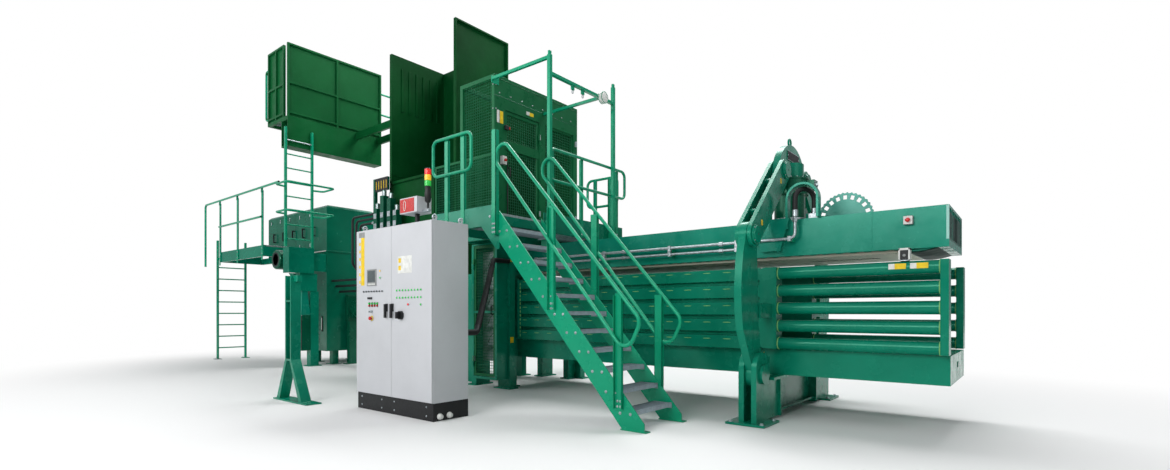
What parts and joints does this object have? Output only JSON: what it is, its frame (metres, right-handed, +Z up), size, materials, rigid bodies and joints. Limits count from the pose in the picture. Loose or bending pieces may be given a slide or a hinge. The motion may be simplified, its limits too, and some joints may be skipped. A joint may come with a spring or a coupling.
{
  "type": "horizontal channel baler",
  "caption": "Horizontal channel baler with feed hopper, tying cage, squeeze yoke over the outlet channel, stairs, control cabinet and power pack",
  "frame": {"origin": "on the floor midway between the two feet of the squeeze yoke, on the channel's centre line", "axes": "+X along the channel towards the bale outlet, +Y to the far side, +Z up"},
  "size_m": [16.306, 6.08, 6.96],
  "materials": {
    "green_paint": "teal green machine paint, slightly worn",
    "lid_green": "paler teal paint with dusty patches",
    "dark_green": "dark green machine paint",
    "hopper_green": "dark green paint, matt",
    "rail_green": "bright teal green tube paint",
    "galvanised": "galvanised steel",
    "pin_steel": "bare steel",
    "cabinet_grey": "light grey powder coat",
    "black_plastic": "black plastic",
    "red_plastic": "red plastic",
    "black_rubber": "black hose and painted pipe"
  },
  "bodies": {
    "machine": {"base_beam": "green_paint", "yoke_stand": "green_paint", "yoke_lower_pins": "pin_steel", "press_chamber": "hopper_green", "main_cylinder": "green_paint", "tying_frame": "green_paint", "wire_tensioners": "galvanised", "hopper_rear_panel": "hopper_green", "hopper_front_panel": "hopper_green", "hopper_side_walls": "hopper_green", "guard_cage": "green_paint", "cage_mesh": "galvanised", "platform_frame": "green_paint", "floor_gratings": "galvanised", "handrails": "rail_green", "lamp_gallows": "galvanised", "stair_stringers": "rail_green", "stair_treads": "galvanised", "cabinet_shell": "cabinet_grey", "signal_mast": "red_plastic", "cabinet_conduit": "galvanised", "cable_stand": "green_paint", "oil_tank": "hopper_green", "pump_enclosure": "hopper_green", "pump_motor": "dark_green", "drive_box": "dark_green", "oil_cooler": "black_plastic", "valve_stack": "pin_steel", "hydraulic_pipes": "black_rubber", "service_deck": "hopper_green", "ladders": "hopper_green", "gallery": "hopper_green"},
    "lid": {"press_lid": "lid_green", "lid_pipes": "pin_steel", "lid_hoses": "black_rubber"},
    "lid_stop_button": {"stop_button_lid": "red_plastic"},
    "wall_near": {"side_wall_near": "green_paint", "outlet_switch_box": "black_plastic"},
    "wall_far": {"side_wall_far": "green_paint"},
    "arm_near": {"yoke_arm_near": "green_paint"},
    "arm_far": {"yoke_arm_far": "green_paint"},
    "links_near": {"yoke_links_near": "green_paint"},
    "links_far": {"yoke_links_far": "green_paint"},
    "head": {"squeeze_head": "green_paint", "squeeze_barrel": "dark_green"},
    "rod": {"squeeze_rod": "pin_steel"},
    "wheel_swing": {"wheel_arm": "galvanised"},
    "wheel": {"measuring_wheel": "galvanised"},
    "ram": {"press_ram": "pin_steel"},
    "needles": {"needle_carriage": "pin_steel"},
    "tying_guard": {"tying_door": "green_paint"},
    "cage_gate": {"cage_door": "green_paint"},
    "cage_stop_button": {"stop_button_cage": "red_plastic"},
    "left_door": {"cabinet_door_left": "cabinet_grey"},
    "right_door": {"cabinet_door_right": "cabinet_grey"},
    "cabinet_stop_button": {"stop_button_cabinet": "red_plastic"},
    "key": {"key_switch": "black_plastic"},
    "left_handle": {"handle_left": "black_plastic"},
    "right_handle": {"handle_right": "black_plastic"},
    "power_switch": {"main_switch": "black_plastic"}
  },
  "joints": [
    {"name": "lid_press", "type": "hinge", "parent": "machine", "child": "lid", "pos_m": [-4.055, 0, 2.035], "axis": [0, 1, 0], "range_deg": [0, 0.848]},
    {"name": "lid_stop_press", "type": "slide", "parent": "lid", "child": "lid_stop_button", "axis": [0, 1, 0], "range_m": [0, 0.006], "stiffness_N_per_m": 800},
    {"name": "wall_near_press", "type": "hinge", "parent": "machine", "child": "wall_near", "pos_m": [-4.085, -0.69, 1.2], "axis": [0, 0, 1], "range_deg": [0, 0.33]},
    {"name": "wall_far_press", "type": "hinge", "parent": "machine", "child": "wall_far", "pos_m": [-4.085, 0.69, 1.2], "axis": [0, 0, -1], "range_deg": [0, 0.33]},
    {"name": "arm_near_swing", "type": "hinge", "parent": "machine", "child": "arm_near", "pos_m": [0, -1.12, 0.525], "axis": [-1, 0, 0], "range_deg": [0, 2.01]},
    {"name": "arm_far_swing", "type": "hinge", "parent": "machine", "child": "arm_far", "pos_m": [0, 1.12, 0.525], "axis": [1, 0, 0], "range_deg": [0, 2.01]},
    {"name": "links_near_swing", "type": "hinge", "parent": "arm_near", "child": "links_near", "pos_m": [0, -1.29, 2.01], "axis": [1, 0, 0], "range_deg": [0, 5.6]},
    {"name": "links_far_swing", "type": "hinge", "parent": "arm_far", "child": "links_far", "pos_m": [0, 1.29, 2.01], "axis": [-1, 0, 0], "range_deg": [0, 5.6]},
    {"name": "head_lift", "type": "slide", "parent": "machine", "child": "head", "axis": [0, 0, 1], "range_m": [0, 0.0616]},
    {"name": "rod_stroke", "type": "slide", "parent": "head", "child": "rod", "axis": [0, 0, -1], "range_m": [0, 0.122]},
    {"name": "wheel_swing_down", "type": "hinge", "parent": "lid", "child": "wheel_swing", "pos_m": [0.285, 0, 2.33], "axis": [0, 1, 0], "range_deg": [0, 30]},
    {"name": "wheel_spin", "type": "hinge", "parent": "wheel_swing", "child": "wheel", "pos_m": [0.644, 0, 2.276], "axis": [0, 1, 0], "continuous": true},
    {"name": "ram_stroke", "type": "slide", "parent": "machine", "child": "ram", "axis": [1, 0, 0], "range_m": [0, 2]},
    {"name": "needle_stroke", "type": "slide", "parent": "machine", "child": "needles", "axis": [0, -1, 0], "range_m": [0, 1.3]},
    {"name": "tying_door_open", "type": "hinge", "parent": "machine", "child": "tying_guard", "pos_m": [-4.582, -1.162, 1.2], "axis": [0, 0, -1], "range_deg": [0, 100]},
    {"name": "cage_door_open", "type": "hinge", "parent": "machine", "child": "cage_gate", "pos_m": [-3.728, -0.532, 3.3], "axis": [0, 0, 1], "range_deg": [0, 95]},
    {"name": "cage_stop_press", "type": "slide", "parent": "machine", "child": "cage_stop_button", "axis": [-1, 0, 0], "range_m": [0, 0.006], "stiffness_N_per_m": 800},
    {"name": "left_door_open", "type": "hinge", "parent": "machine", "child": "left_door", "pos_m": [-4.255, -3.31, 1.2], "axis": [0, 0, -1], "range_deg": [0, 110]},
    {"name": "right_door_open", "type": "hinge", "parent": "machine", "child": "right_door", "pos_m": [-2.715, -3.31, 1.2], "axis": [0, 0, 1], "range_deg": [0, 110]},
    {"name": "cabinet_stop_press", "type": "slide", "parent": "left_door", "child": "cabinet_stop_button", "axis": [0, 1, 0], "range_m": [0, 0.006], "stiffness_N_per_m": 800},
    {"name": "key_turn", "type": "hinge", "parent": "left_door", "child": "key", "pos_m": [-3.896, -3.33, 1.199], "axis": [0, -1, 0], "range_deg": [0, 90]},
    {"name": "left_handle_turn", "type": "hinge", "parent": "left_door", "child": "left_handle", "pos_m": [-3.575, -3.33, 1.27], "axis": [0, 1, 0], "range_deg": [0, 90]},
    {"name": "right_handle_turn", "type": "hinge", "parent": "right_door", "child": "right_handle", "pos_m": [-3.455, -3.33, 1.27], "axis": [0, -1, 0], "range_deg": [0, 90]},
    {"name": "power_switch_turn", "type": "hinge", "parent": "right_door", "child": "power_switch", "pos_m": [-3.283, -3.33, 1.158], "axis": [0, -1, 0], "range_deg": [0, 90]}
  ],
  "couplings": [
    {"joint": "wall_near_press", "follows": "lid_press", "ratio": 0.384},
    {"joint": "wall_far_press", "follows": "lid_press", "ratio": 0.384},
    {"joint": "arm_near_swing", "follows": "lid_press", "ratio": 2.358},
    {"joint": "arm_far_swing", "follows": "lid_press", "ratio": 2.358},
    {"joint": "links_near_swing", "follows": "lid_press", "ratio": 6.48},
    {"joint": "links_far_swing", "follows": "lid_press", "ratio": 6.48},
    {"joint": "head_lift", "follows": "lid_press", "m_per_rad": 4.15},
    {"joint": "rod_stroke", "follows": "lid_press", "m_per_rad": 8.2}
  ]
}
